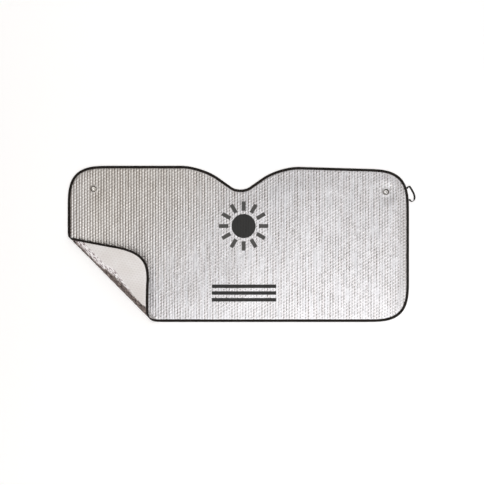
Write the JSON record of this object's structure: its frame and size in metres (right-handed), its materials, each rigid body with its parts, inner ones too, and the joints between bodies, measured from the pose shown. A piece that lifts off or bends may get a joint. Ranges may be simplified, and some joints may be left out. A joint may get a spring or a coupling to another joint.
{
  "type": "windscreen sunshade",
  "caption": "Silver bubble-foil windscreen sunshade with black edge tape, mirror notch, small suction cups, an elastic loop and one folded-over corner.",
  "frame": {"origin": "centre of the base of the sheet's box, elastic loop left out, on the floor that the back face lies on", "axes": "+X along the width to the right as seen in the picture, +Y towards the edge with the mirror notch, +Z out of the silver face"},
  "size_m": [1.3228, 0.595, 0.0624],
  "materials": {
    "silver_foil": "metallised, glossy",
    "black_tape": "matt woven",
    "clear_vinyl": "clear, glossy",
    "black_elastic": "matt braided"
  },
  "bodies": {
    "shade": {"bubble_foil_sheet": "silver_foil", "edge_binding": "black_tape", "elastic_loop": "black_elastic"},
    "left_cup": {"left_suction_cup": "clear_vinyl"},
    "right_cup": {"right_suction_cup": "clear_vinyl"}
  },
  "joints": [
    {"name": "left_cup_swivel", "type": "hinge", "parent": "shade", "child": "left_cup", "pos_m": [-0.55, 0.209, 0], "axis": [0, 0, 1], "continuous": true},
    {"name": "right_cup_swivel", "type": "hinge", "parent": "shade", "child": "right_cup", "pos_m": [0.561, 0.197, 0], "axis": [0, 0, 1], "continuous": true}
  ]
}
